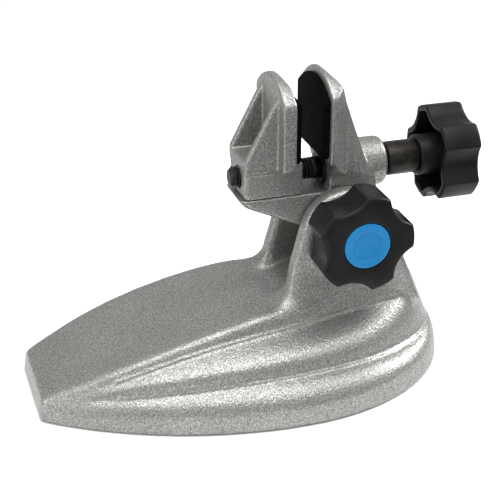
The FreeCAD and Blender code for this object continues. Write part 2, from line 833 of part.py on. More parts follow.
def make_knob(label, hub_length, placement, lobe_angle):
    """A moulded knob about its own Z axis: rim plane at zero, crown at the knob's depth, hub behind the rim."""
    body = new_body(label + "_body")
    disc = sketch_on(body, "XY_Plane", label + "_disc")
    draw_circle(disc, ("0", "0"), "knob_radius")
    pad(body, label + "_blank", disc, "knob_depth")

    # each scallop is a round bite out of the rim between two lobes
    reach = "( knob_radius - scallop_depth + scallop_radius )"
    turn = math.radians(lobe_angle + 180 / LOBES)
    bite = sketch_on(body, "XY_Plane", label + "_scallop")
    centre = (f"{reach} * {math.cos(turn):.5f}", f"{reach} * {math.sin(turn):.5f}")
    draw_circle(bite, centre, "scallop_radius")
    scallop = pocket(body, label + "_scallop_cut", bite, "knob_depth", reverse=True)
    ring = body.newObject("PartDesign::PolarPattern", label + "_scallops")
    ring.Originals = [scallop]
    ring.Axis = (bite, ["N_Axis"])
    ring.Angle = 360.0
    ring.Occurrences = LOBES
    body.Tip = ring
    doc.recompute()

    front = size("knob_depth")
    crown = [
        f"Edge{number}"
        for number, edge in enumerate(body.Shape.Edges, start=1)
        if all(abs(vertex.Point.z - front) < 0.01 for vertex in edge.Vertexes)
    ]
    round_edges(body, label + "_crown_edge", crown, "2")

    hollow = sketch_on(body, "XY_Plane", label + "_hollow_outline")
    draw_circle(hollow, ("0", "0"), "knob_radius - scallop_depth - knob_wall")
    pocket(body, label + "_hollow", hollow, "knob_hollow", reverse=True)
    lobe_reach = "( knob_radius - knob_wall - 3.2 )"
    lobe_hollow = sketch_on(body, "XY_Plane", label + "_lobe_hollow_outline")
    turn = math.radians(lobe_angle)
    centre = (f"{lobe_reach} * {math.cos(turn):.5f}", f"{lobe_reach} * {math.sin(turn):.5f}")
    draw_circle(lobe_hollow, centre, "3.2")
    cut = pocket(body, label + "_lobe_hollow", lobe_hollow, "knob_hollow", reverse=True)
    ring = body.newObject("PartDesign::PolarPattern", label + "_lobe_hollows")
    ring.Originals = [cut]
    ring.Axis = (lobe_hollow, ["N_Axis"])
    ring.Angle = 360.0
    ring.Occurrences = LOBES
    body.Tip = ring
    doc.recompute()

    hub = sketch_on(body, "XY_Plane", label + "_hub_outline", f"0 - {hub_length}")
    draw_circle(hub, ("0", "0"), "hub_radius")
    pad(body, label + "_hub", hub, f"{hub_length} + knob_hollow + 0.5")

    seat = sketch_on(body, "XY_Plane", label + "_cap_seat_outline", "knob_depth")
    draw_circle(seat, ("0", "0"), "cap_radius")
    pocket(body, label + "_cap_seat", seat, "cap_seat")

    socket = sketch_on(body, "XY_Plane", label + "_insert_socket_outline", f"0 - {hub_length}")
    draw_circle(socket, ("0", "0"), "insert_radius")
    pocket(body, label + "_insert_socket", socket, f"{hub_length} + knob_depth - cap_seat - 1.5", reverse=True)
    body.Placement = placement
    doc.recompute()
    return finished(body, label)


def make_insert(label, hub_length, placement):
    """The threaded metal insert moulded in a knob's hub, blind towards the cap."""
    end = "knob_depth - cap_seat - 1.5"
    outline = [
        (f"0 - {hub_length}", "bore_radius"),
        (f"{end} - 1", "bore_radius"),
        (f"{end} - 1", "0"),
        (end, "0"),
        (end, "insert_radius"),
        (f"0 - {hub_length}", "insert_radius"),
    ]
    return turned(label, outline, placement)


def make_cap(label, placement):
    """A snap-in cap: a raised round ring about a dished middle."""
    back = "knob_depth - cap_seat"
    outline = [
        (back, "0"),
        ("knob_depth - 0.4", "0"),
        ("knob_depth - 0.4", "cap_radius * 0.62"),
        ("knob_depth + 0.3", "cap_radius * 0.68"),
        ("knob_depth + 0.3", "cap_radius - 0.7"),
        ("knob_depth - 0.1", "cap_radius"),
        (back, "cap_radius"),
    ]
    return turned(label, outline, placement)


# ---------------------------------------------------------------- assembly


make_head()
make_sliding_jaw()
arch_top, arch_peak = "jaw_shoulder - pad_margin", "jaw_peak - 2 * pad_margin"
make_pad("fixed_jaw_pad", "-fixed_jaw_front", "arm_top + 13.8", arch_top, arch_peak, True)
make_pad("sliding_jaw_pad", "-plate_back", "arm_top + 13.2", "arm_top + 36.3", None, False)

clamp_rim = size("sleeve_start") + size("sleeve_length") + size("clamp_hub_length")
turned_clamp_knob = Placement(Vector(clamp_rim, 0, size("clamp_axis_height")), Rotation())
upright_clamp_knob = Placement(
    Vector(clamp_rim, 0, size("clamp_axis_height")),
    Rotation(Vector(0, 0, 1), Vector(0, -1, 0), Vector(1, 0, 0), "ZXY"),
)
tilt_rim = size("ear_outer") + size("washer_thickness") + size("tilt_hub_length")
turned_tilt_knob = Placement(Vector(0, -tilt_rim, size("tilt_axis_height")), Rotation(Vector(0, 0, 1), -90))
upright_tilt_knob = Placement(Vector(0, -tilt_rim, size("tilt_axis_height")), Rotation(Vector(1, 0, 0), 90))

make_knob("clamp_knob", "clamp_hub_length", upright_clamp_knob, -20)
make_insert("clamp_knob_insert", "clamp_hub_length", turned_clamp_knob)
make_cap("clamp_knob_cap", turned_clamp_knob)
make_knob("tilt_knob", "tilt_hub_length", upright_tilt_knob, 5)
make_insert("tilt_knob_insert", "tilt_hub_length", turned_tilt_knob)
make_cap("tilt_knob_cap", turned_tilt_knob)

# the screw runs from its tip, past the groove for the retaining ring, into the knob's insert
groove_start = "-trunk_front - retainer_width"
groove_end = "-trunk_front"
screw_end = f"{clamp_rim} + knob_depth - cap_seat - 3.5"
turned(
    "clamp_screw",
    [
        ("-screw_tip", "0"),
        ("-screw_tip", "screw_radius - 0.9"),
        ("0.9 - screw_tip", "screw_radius"),
        (groove_start, "screw_radius"),
        (groove_start, "screw_radius - 0.5"),
        (groove_end, "screw_radius - 0.5"),
        (groove_end, "screw_radius"),
        (screw_end, "screw_radius"),
        (screw_end, "0"),
    ],
    along_x("clamp_axis_height"),
)
turned(
    "clamp_retainer",
    ring_outline(groove_start, groove_end, "screw_radius - 0.5", "retainer_radius"),
    along_x("clamp_axis_height"),
)
turned(
    "clamp_sleeve",
    [
        ("sleeve_start", "bore_radius"),
        ("sleeve_start + sleeve_length", "bore_radius"),
        ("sleeve_start + sleeve_length", "sleeve_radius"),
        ("sleeve_start + 0.7", "sleeve_radius"),
        ("sleeve_start", "sleeve_radius - 0.7"),
    ],
    along_x("clamp_axis_height"),
)

# the bolt's head is at the far ear, and its thread ends in the tilt knob's insert
bolt_end = f"{tilt_rim} + knob_depth - cap_seat - 3.5"
far_washer = "0 - ear_outer - washer_thickness"
turned(
    "tilt_knob_washer",
    ring_outline("ear_outer", "ear_outer + washer_thickness", "bore_radius", "washer_radius"),
    across_y(),
)
turned("tilt_bolt_washer", ring_outline(far_washer, "0 - ear_outer", "bore_radius", "washer_radius"), across_y())
liner_gap = "( ear_inner - head_half_width - liner_thickness ) / 2"
for label, inner_face in (
    ("near_friction_washer", f"head_half_width + {liner_gap}"),
    ("far_friction_washer", f"0 - head_half_width - {liner_gap} - liner_thickness"),
):
    turned(
        label, ring_outline(inner_face, f"{inner_face} + liner_thickness", "bore_radius", "liner_radius"), across_y()
    )


def make_tilt_bolt():
    """A hexagon-head bolt about its own X axis, which points from the far ear to the tilt knob."""
    body = new_body("tilt_bolt_body")
    head = sketch_on(body, "YZ_Plane", "bolt_head_outline", f"{far_washer} - bolt_head_height")
    corner = "bolt_head_flat * 1.1547"
    draw_polygon(
        head,
        [(f"{corner} * {math.cos(math.radians(turn)):.5f}", f"{corner} * {math.sin(math.radians(turn)):.5f}")
         for turn in range(0, 360, 60)],
    )
    pad(body, "bolt_head", head, "bolt_head_height")
    shank = sketch_on(body, "YZ_Plane", "bolt_shank_outline", f"{far_washer} - 0.5 * bolt_head_height")
    draw_circle(shank, ("0", "0"), "bolt_radius")
    pad(body, "bolt_shank", shank, f"{bolt_end} + ear_outer + washer_thickness + 0.5 * bolt_head_height")
    rim = circles_at(body.Shape, 0, amount(bolt_end), size("bolt_radius"))
    bevel_edges(body, "bolt_point", rim, "0.8")
    body.Placement = across_y()
    doc.recompute()
    return finished(body, "tilt_bolt")


make_tilt_bolt()
doc.recompute()

# ---------------------------------------------------------------- checks and export

for item in doc.Objects:
    if "Invalid" in item.State or "Error" in item.State:
        raise RuntimeError(f"{item.Label} is {item.State}")
os.makedirs("parts", exist_ok=True)
for piece in pieces:
    shape = piece.Shape
    if shape.isNull() or not shape.isValid() or shape.Volume <= 0:
        raise RuntimeError(f"{piece.Label} has no valid shape")
    shape.exportStep(os.path.join("parts", piece.Label + ".step"))
    box = shape.BoundBox
    print(
        f"{piece.Label:22s} {shape.Volume / 1000:8.2f} cm3  x {box.XMin:7.1f} {box.XMax:6.1f}"
        f"  y {box.YMin:6.1f} {box.YMax:6.1f}  z {box.ZMin:5.1f} {box.ZMax:6.1f}  solids {len(shape.Solids)}"
    )
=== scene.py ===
import json
import math

import bmesh
import bpy
import numpy as np
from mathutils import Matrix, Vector, noise
from mathutils.kdtree import KDTree


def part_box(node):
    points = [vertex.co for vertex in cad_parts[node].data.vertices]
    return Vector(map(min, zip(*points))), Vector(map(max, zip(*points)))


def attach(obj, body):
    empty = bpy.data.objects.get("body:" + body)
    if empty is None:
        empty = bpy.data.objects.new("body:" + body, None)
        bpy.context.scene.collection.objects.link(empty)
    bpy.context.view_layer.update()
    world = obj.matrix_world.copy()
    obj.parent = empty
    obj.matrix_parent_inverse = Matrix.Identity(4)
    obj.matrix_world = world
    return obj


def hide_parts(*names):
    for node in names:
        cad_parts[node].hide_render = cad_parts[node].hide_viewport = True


# A micrometer stand: hammertone castings, black lobed knobs with blue caps, black rubber pads and dark steel screws.

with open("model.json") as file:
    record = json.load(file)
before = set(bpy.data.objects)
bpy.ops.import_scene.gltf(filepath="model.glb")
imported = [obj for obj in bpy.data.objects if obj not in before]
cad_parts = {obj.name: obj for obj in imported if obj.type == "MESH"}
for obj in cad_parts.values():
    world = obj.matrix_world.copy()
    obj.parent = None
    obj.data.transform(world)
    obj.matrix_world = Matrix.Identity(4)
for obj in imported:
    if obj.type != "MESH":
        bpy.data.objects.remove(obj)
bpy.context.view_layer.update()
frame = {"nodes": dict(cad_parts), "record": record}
nodes = frame["nodes"]

MM = 0.001


# ---------------------------------------------------------------- camera, floor and light

camera_data = bpy.data.cameras.new("camera")
camera_data.lens = 93.2
camera_data.sensor_width = 36
camera = bpy.data.objects.new("camera", camera_data)
camera.location = (-0.1611, -0.4054, 0.2538)
camera.rotation_euler = (math.radians(64.0), 0, math.radians(-17.64))
bpy.context.scene.collection.objects.link(camera)
bpy.context.scene.camera = camera


def area_light(name, location, target, size, power):
    data = bpy.data.lights.new(name, "AREA")
    data.shape = "RECTANGLE"
    data.size, data.size_y = size
    data.energy = power
    light = bpy.data.objects.new(name, data)
    light.location = location
    light.rotation_euler = (Vector(target) - Vector(location)).to_track_quat("-Z", "Y").to_euler()
    bpy.context.scene.collection.objects.link(light)


area_light("overhead", (-0.08, -0.14, 0.76), (0, 0, 0.03), (0.80, 0.58), 5.8)
area_light("left", (-0.80, -0.15, 0.30), (0, 0, 0.04), (0.50, 0.60), 2.2)
area_light("right", (0.62, 0.05, 0.45), (0, 0, 0.03), (0.35, 0.35), 4.5)
area_light("front", (-0.28, -0.85, 0.075), (0, 0, 0.01), (0.60, 0.11), 0.6)


def studio_world():
    """An even white room whose lower half is bright behind and to the left, and dark in front."""
    world = bpy.data.worlds.new("world")
    world.use_nodes = True
    tree = world.node_tree

    def node(kind, settings, inputs):
        made = tree.nodes.new(kind)
        for key, value in settings.items():
            setattr(made, key, value)
        for key, value in inputs.items():
            if isinstance(value, bpy.types.NodeSocket):
                tree.links.new(value, made.inputs[key])
            else:
                made.inputs[key].default_value = value
        return made.outputs[0]

    def along(direction):
        made = node("ShaderNodeVectorMath", {"operation": "DOT_PRODUCT"}, {0: heading, 1: direction})
        return made.node.outputs["Value"]

    def span(value, start, end, low, high):
        inputs = {"Value": value, "From Min": start, "From Max": end, "To Min": low, "To Max": high}
        return node("ShaderNodeMapRange", {"interpolation_type": "SMOOTHSTEP"}, inputs)

    heading = node("ShaderNodeTexCoord", {}, {})
    upper = span(along((0, 0, 1)), 0.0, 0.8, 0.50, 0.62)
    lower = span(along((-0.45, 0.89, 0)), -0.5, 0.6, 0.16, 0.80)
    share = span(along((0, 0, 1)), -0.20, 0.10, 0.0, 1.0)
    strength = node("ShaderNodeMix", {"data_type": "FLOAT"}, {0: share, 2: lower, 3: upper})
    background = tree.nodes["Background"]
    background.inputs["Color"].default_value = (1, 1, 1, 1)
    tree.links.new(strength, background.inputs["Strength"])
    return world


bpy.context.scene.world = studio_world()
bpy.context.scene.view_settings.view_transform = "Standard"


# ---------------------------------------------------------------- materials


class Shader:
    """A node material built up from named steps, in the object's own coordinates in metres."""

    def __init__(self, name):
        self.material = bpy.data.materials.new(name)
        self.material.use_nodes = True
        self.tree = self.material.node_tree
        self.surface = self.tree.nodes["Principled BSDF"]
        self.place = self.tree.nodes.new("ShaderNodeTexCoord").outputs["Object"]

    def node(self, kind, settings=None, **inputs):
        made = self.tree.nodes.new(kind)
        for key, value in (settings or {}).items():
            setattr(made, key, value)
        for key, value in inputs.items():
            socket = made.inputs[key.replace("_", " ")]
            if isinstance(value, bpy.types.NodeSocket):
                self.tree.links.new(value, socket)
            else:
                socket.default_value = value
        return made

    def grain(self, scale, detail=2.0, rough=0.5):
        """Fractal noise from 0 to 1 with features about 1 / scale metres across."""
        made = self.node("ShaderNodeTexNoise", Vector=self.place, Scale=scale, Detail=detail, Roughness=rough)
        return made.outputs["Fac"]

    def cells(self, scale):
        """The distance to the nearest of many scattered points about 1 / scale metres apart."""
        made = self.node("ShaderNodeTexVoronoi", {"feature": "SMOOTH_F1"}, Vector=self.place, Scale=scale)
        return made.outputs["Distance"]

    def ramp(self, value, stops):
        made = self.node("ShaderNodeValToRGB", Fac=value)
        elements = made.color_ramp.elements
        while len(elements) < len(stops):
            elements.new(0.5)
        for element, (spot, colour) in zip(elements, stops):
            element.position = spot
            element.color = (*colour, 1)
        return made.outputs["Color"]

    def span(self, value, low, high, source=(0, 1)):
        return self.node(
            "ShaderNodeMapRange",
            Value=value,
            From_Min=source[0],
            From_Max=source[1],
            To_Min=low,
            To_Max=high,
        ).outputs["Result"]

    def tint(self, share, colour, shade):
        """The colour multiplied by the shade, by the share given."""
        made = self.node("ShaderNodeMix", {"data_type": "RGBA", "blend_type": "MULTIPLY"})
        made.inputs[0].default_value = share
        self.tree.links.new(colour, made.inputs[6])
        self.tree.links.new(shade, made.inputs[7])
        return made.outputs[2]

    def bump(self, height, distance, strength, normal=None):
        made = self.node("ShaderNodeBump", Height=height, Distance=distance, Strength=strength)
        if normal is not None:
            self.tree.links.new(normal, made.inputs["Normal"])
        return made.outputs["Normal"]

    def finish(self, **inputs):
        for key, value in inputs.items():
            socket = self.surface.inputs[key.replace("_", " ")]
            if isinstance(value, bpy.types.NodeSocket):
                self.tree.links.new(value, socket)
            else:
                socket.default_value = value
        return self.material


def hammertone():
    s = Shader("hammertone_casting")
    broad = s.grain(60, 3)
    speck = s.grain(2100, 2, 0.6)
    greys = [(0.30, (0.130, 0.134, 0.126)), (0.50, (0.275, 0.280, 0.267)), (0.70, (0.480, 0.480, 0.470))]
    base = s.ramp(speck, greys)
    colour = s.tint(0.5, base, s.ramp(broad, [(0.3, (0.8, 0.82, 0.79)), (0.7, (1, 1, 1))]))
    rough = s.span(speck, 0.48, 0.30, (0.3, 0.7))
    fine = s.bump(s.cells(1700), 0.00016, 0.6)
    coarse = s.bump(s.grain(800, 2), 0.00012, 0.6, fine)
    return s.finish(Base_Color=colour, Metallic=0.72, Roughness=rough, Normal=coarse)


def rubber():
    s = Shader("pad_rubber")
    colour = s.ramp(s.grain(400, 3), [(0.3, (0.0015, 0.0015, 0.0015)), (0.7, (0.004, 0.004, 0.004))])
    rough = s.span(s.grain(250, 2), 0.42, 0.60)
    fine = s.bump(s.grain(2500, 2), 0.00005, 0.5)
    return s.finish(Base_Color=colour, Roughness=rough, Specular_IOR_Level=0.01, Normal=fine)


def black_plastic():
    s = Shader("black_plastic")
    colour = s.ramp(s.grain(120, 3), [(0.3, (0.006, 0.006, 0.0065)), (0.7, (0.011, 0.011, 0.012))])
    rough = s.span(s.grain(90, 3), 0.28, 0.42)
    spark = s.bump(s.cells(1600), 0.00005, 0.4)
    return s.finish(Base_Color=colour, Roughness=rough, Specular_IOR_Level=0.15, Normal=spark)


def blue_cap():
    s = Shader("blue_cap")
    colour = s.ramp(s.grain(140, 2), [(0.3, (0.010, 0.155, 0.36)), (0.7, (0.014, 0.185, 0.42))])
    rough = s.span(s.grain(200, 2), 0.24, 0.36)
    fine = s.bump(s.grain(900, 2), 0.00002, 0.4)
    return s.finish(Base_Color=colour, Roughness=rough, Specular_IOR_Level=0.15, Normal=fine)


def brass():
    s = Shader("brass_insert")
    colour = s.ramp(s.grain(500, 3), [(0.3, (0.52, 0.36, 0.13)), (0.7, (0.66, 0.48, 0.20))])
    rough = s.span(s.grain(900, 2), 0.28, 0.45)
    return s.finish(Base_Color=colour, Metallic=1.0, Roughness=rough)


def black_steel():
    s = Shader("black_steel")
    colour = s.ramp(s.grain(350, 3), [(0.3, (0.012, 0.011, 0.010)), (0.72, (0.036, 0.032, 0.028))])
    rough = s.span(s.grain(800, 2), 0.32, 0.5)
    fine = s.bump(s.grain(2200, 2), 0.00004, 0.5)
    return s.finish(Base_Color=colour, Metallic=0.75, Roughness=rough, Normal=fine)


def zinc_steel():
    s = Shader("zinc_steel")
    colour = s.ramp(s.grain(260, 3), [(0.3, (0.42, 0.42, 0.41)), (0.7, (0.60, 0.60, 0.58))])
    rough = s.span(s.grain(700, 2), 0.25, 0.42)
    fine = s.bump(s.grain(1500, 2), 0.00003, 0.4)
    return s.finish(Base_Color=colour, Metallic=1.0, Roughness=rough, Normal=fine)


def nylon():
    s = Shader("nylon")
    colour = s.ramp(s.grain(300, 2), [(0.3, (0.55, 0.53, 0.47)), (0.7, (0.68, 0.66, 0.60))])
    return s.finish(Base_Color=colour, Roughness=s.span(s.grain(500, 2), 0.4, 0.55))


finishes = {
    "hammertone_casting": hammertone(),
    "pad_rubber": rubber(),
    "black_plastic": black_plastic(),
    "blue_cap": blue_cap(),
    "brass_insert": brass(),
    "black_steel": black_steel(),
    "zinc_steel": zinc_steel(),
    "nylon": nylon(),
}
kept_nodes = {
    "clamp_knob_insert": "brass_insert",
    "tilt_knob_insert": "brass_insert",
    "clamp_retainer": "black_steel",
    "near_friction_washer": "nylon",
    "far_friction_washer": "nylon",
}
for node_name, slot_name in kept_nodes.items():
    nodes[node_name].data.materials.clear()
    nodes[node_name].data.materials.append(finishes[slot_name])


# ---------------------------------------------------------------- pieces

WELD = 0.002 * MM
STEP = 0.5  # share of the way that one round of averaging moves a vertex
EVEN_ROUNDS = 3  # first rounds, the same for all edges, that take out the voxels' stairs
NORMALS_EVERY = 4
BEAD_HEIGHT = 0.4 * MM
BEAD_REACH = 0.55
RAIL_STEPS = 20
FINE_GRAIN = 900
BROAD_GRAIN = 420


def body_of(node):
    rows = frame["record"]["behaviour"]["bodies"]
    return next(body for body, members in rows.items() if node in members)


def place_piece(mesh, node, slot_name):
    """Show the mesh in place of a CAD node, on the node's body and with the slot's finish."""
    mesh.materials.clear()
    mesh.materials.append(finishes[slot_name])
    mesh.polygons.foreach_set("use_smooth", [True] * len(mesh.polygons))
    piece = bpy.data.objects.new(node + "_skin", mesh)
    bpy.context.scene.collection.objects.link(piece)
    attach(piece, body_of(node))
    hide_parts(node)


def remeshed(node, voxel):
    """The CAD node's solid as an even mesh of small quads."""
    mesh = nodes[node].data.copy()
    mesh.materials.clear()
    shape = bmesh.new()
    shape.from_mesh(mesh)
    bmesh.ops.remove_doubles(shape, verts=shape.verts, dist=WELD)
    shape.to_mesh(mesh)
    shape.free()
    holder = bpy.data.objects.new(node + "_even", mesh)
    bpy.context.scene.collection.objects.link(holder)
    modifier = holder.modifiers.new("even", "REMESH")
    modifier.mode = "VOXEL"
    modifier.voxel_size = voxel
    graph = bpy.context.evaluated_depsgraph_get()
    even = bpy.data.meshes.new_from_object(holder.evaluated_get(graph))
    bpy.data.objects.remove(holder)
    return even


def mesh_arrays(mesh):
    spots = np.empty(len(mesh.vertices) * 3)
    mesh.vertices.foreach_get("co", spots)
    edges = np.empty(len(mesh.edges) * 2, int)
    mesh.edges.foreach_get("vertices", edges)
    return spots.reshape(-1, 3), edges.reshape(-1, 2)


def move_to(mesh, spots):
    mesh.vertices.foreach_set("co", spots.ravel())
    mesh.update()


def vertex_normals(mesh, spots):
    move_to(mesh, spots)
    normals = np.empty(len(mesh.vertices) * 3)
    mesh.vertex_normals.foreach_get("vector", normals)
    return normals.reshape(-1, 3)


def pull(spots, edges, count):
    """Each vertex's way to the mean of its neighbours."""
    total = np.zeros_like(spots)
    for axis in range(3):
        total[:, axis] = np.bincount(edges[:, 0], spots[edges[:, 1], axis], len(spots))
        total[:, axis] += np.bincount(edges[:, 1], spots[edges[:, 0], axis], len(spots))
    return total / count[:, None] - spots


def soften(mesh, rounds, concave, blends=()):
    """Round the convex edges by repeated averaging. Concave creases move by the smaller share.

    A blend is (centres, reach, rounds) in millimetres: more averaging near those spots, for edges and creases alike.
    """
    spots, edges = mesh_arrays(mesh)
    count = np.bincount(edges.ravel(), minlength=len(spots))
    for _ in range(EVEN_ROUNDS):
        spots += STEP * pull(spots, edges, count)
    for turn in range(rounds):
        if turn % NORMALS_EVERY == 0:
            normals = vertex_normals(mesh, spots)
        way = pull(spots, edges, count)
        bulge = np.einsum("ij,ij->i", way, normals) < 0
        spots += STEP * way * np.where(bulge, 1.0, concave)[:, None]
    for centres, reach, turns in blends:
        weight = np.zeros(len(spots))
        for centre in centres:
            away = (spots / MM - np.array(centre)) / np.array(reach)
            weight = np.maximum(weight, np.exp(-0.5 * np.einsum("ij,ij->i", away, away)))
        for _ in range(turns):
            spots += STEP * pull(spots, edges, count) * weight[:, None]
    return spots


def both_sides(points):
    return [(x, side * y, z) for x, y, z in points for side in (-1, 1)]


def bead(mesh, spots, rail):
    """A fine raised line along a rail and its mirror image. The rail has (x, half width, z) in millimetres."""
    points = []
    for first, second in zip(rail, rail[1:]):
        for step in range(RAIL_STEPS):
            share = step / RAIL_STEPS
            points.append(tuple(a + (b - a) * share for a, b in zip(first, second)))
    points = both_sides(points)
    tree = KDTree(len(points))
    for point in points:
        tree.insert(Vector(point), 0)
    tree.balance()
    normals = vertex_normals(mesh, spots)
    away = np.array([tree.find(Vector(spot) / MM)[2] for spot in spots])
    return spots + normals * (BEAD_HEIGHT * np.exp(-0.5 * (away / BEAD_REACH) ** 2))[:, None]


def cast_grain(mesh, spots, node, depth):
    """A sand-cast skin: shallow bumps a millimetre or two across, kept inside the node's box."""
    normals = vertex_normals(mesh, spots)
    height = [
        noise.noise(Vector(spot) * FINE_GRAIN) + 0.7 * noise.noise(Vector(spot) * BROAD_GRAIN) for spot in spots
    ]
    spots = spots + normals * (depth * (np.array(height) - 0.6))[:, None]
    low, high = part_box(node)
    return np.clip(spots, np.array(low), np.array(high))


def cast_piece(node, voxel, rounds, concave, depth, blends, rails=()):
    mesh = remeshed(node, voxel)
    spots = soften(mesh, rounds, concave, blends)
    for rail in rails:
        spots = bead(mesh, spots, rail)
    move_to(mesh, cast_grain(mesh, spots, node, depth))
    place_piece(mesh, node, "hammertone_casting")


def moulded_piece(node, voxel, rounds, slot_name):
    mesh = remeshed(node, voxel)
    move_to(mesh, soften(mesh, rounds, 1.0))
    place_piece(mesh, node, slot_name)


# rails on the base in millimetres, as (x, half width, z): the two creases between its terraces, and its plateau's edge
LOW_CREASE = [
    (-89, 29.6, 11),
    (-77, 33.6, 12.4),
    (-65, 36.7, 13.5),
    (-53, 38.8, 14.3),
    (-41, 39.9, 14.8),
    (-29, 40.1, 15),
    (-17, 39.2, 15),
    (-7, 37.7, 14.7),
    (3, 35.2, 14.2),
    (13, 31.4, 13.7),
    (22, 25.8, 13.2),
    (29, 19.6, 13),
    (34.2, 13.5, 12.8),
]
HIGH_CREASE = [
    (-89, 25.7, 15.3),
    (-77, 27, 18.8),
    (-65, 27.5, 21.8),
    (-53, 27.5, 24),
    (-41, 27.1, 25.4),
    (-29, 25.7, 26),
    (-17, 24, 26.5),
    (-7, 22.4, 27.2),
    (3, 20.8, 28),
    (11, 19.6, 28.5),
    (19, 18.3, 29),
]
PLATEAU_EDGE = [
    (-100, 21.5, 16),
    (-89, 24.1, 19.8),
    (-77, 25, 24),
    (-65, 25.5, 27.3),
    (-53, 25.2, 29.6),
    (-41, 24.8, 31.4),
    (-32, 24, 32.2),
]
EAR_FRONT_FEET = [(-25, 16, 33)]
REAR_CORNERS = [(31, 17, 33)]
FIXED_CROWN = (-4, 0, 113)
SLIDING_CROWN = (-22, 0, 112)
CROWN_REACH = (8, 20, 5)

# the plateau's edges are broad, the ears' front feet sweep into them, and the column's rear corners are soft
base_blends = [
    (both_sides(PLATEAU_EDGE), (7, 4, 5), 60),
    (both_sides(EAR_FRONT_FEET), (6, 6, 6), 160),
    (both_sides(REAR_CORNERS), (6, 6, 6), 100),
]
cast_piece("base_casting", 0.45 * MM, 50, 0.25, 0.035 * MM, base_blends, [LOW_CREASE, HIGH_CREASE])
cast_piece("swivel_head", 0.4 * MM, 10, 0.4, 0.03 * MM, [([FIXED_CROWN], CROWN_REACH, 14)])
cast_piece("sliding_jaw", 0.35 * MM, 8, 0.4, 0.03 * MM, [([SLIDING_CROWN], CROWN_REACH, 16)])
for pad_node in ("fixed_jaw_pad", "sliding_jaw_pad"):
    moulded_piece(pad_node, 0.3 * MM, 8, "pad_rubber")


# ---------------------------------------------------------------- turned and lobed pieces


def wound(name, axis, centre, rings, around, hollow=False):
    """A mesh of rings about an axis. A ring is (place along the axis, radius or function of angle)."""
    along = Vector(axis).normalized()
    side = Vector((0, 0, 1))
    across = along.cross(side)
    shape = bmesh.new()
    loops = []
    for place, radius in rings:
        loop = []
        for step in range(around):
            angle = 2 * math.pi * step / around
            reach = radius(angle) if callable(radius) else radius
            if reach == 0:
                loop = [shape.verts.new(Vector(centre) + along * place)]
                break
            spot = Vector(centre) + along * place + (side * math.cos(angle) + across * math.sin(angle)) * reach
            loop.append(shape.verts.new(spot))
        loops.append(loop)
    for first, second in zip(loops, loops[1:] + loops[:1] if hollow else loops[1:]):
        for step in range(around):
            following = (step + 1) % around
            corners = [first[step % len(first)], first[following % len(first)]]
            corners += [second[following % len(second)], second[step % len(second)]]
            unique = list(dict.fromkeys(corners))
            if len(unique) > 2:
                shape.faces.new(unique)
    bmesh.ops.recalc_face_normals(shape, faces=shape.faces)
    mesh = bpy.data.meshes.new(name)
    shape.to_mesh(mesh)
    shape.free()
    return mesh


# both knobs, in millimetres: a lobed rim with a rounded crown, a hollow back, a hub and a seat for the cap
KNOB_RADIUS = 18.0
KNOB_DEPTH = 14.4
KNOB_WALL = 2.4
KNOB_HOLLOW = 10.5
SCALLOP_RADIUS = 11.65
SCALLOP_DEPTH = 3.3
CROWN_ROUND = 1.3
HUB_RADIUS = 7.5
CAP_RADIUS = 8.6
CAP_SEAT = 1.6
SOCKET_RADIUS = 5.22
LOBES = 5
BORE_RADIUS = 4.0
BORE_BREAK = 0.15


def lobed(inset, lobe_angle, blend=0.7):
    """The knob's outline, set in from the rim, as a radius for each angle."""
    centre = KNOB_RADIUS - SCALLOP_DEPTH + SCALLOP_RADIUS
    bite = SCALLOP_RADIUS + inset

    def radius(angle):
        turn = (angle - lobe_angle) % (2 * math.pi / LOBES) - math.pi / LOBES
        under = bite**2 - (centre * math.sin(turn)) ** 2
        rim = KNOB_RADIUS - inset
        if under <= 0:
            return rim * MM
        scoop = centre * math.cos(turn) - math.sqrt(under)
        overlap = max(blend - abs(rim - scoop), 0) / blend
        return (min(rim, scoop) - overlap**2 * blend / 4) * MM

    return radius


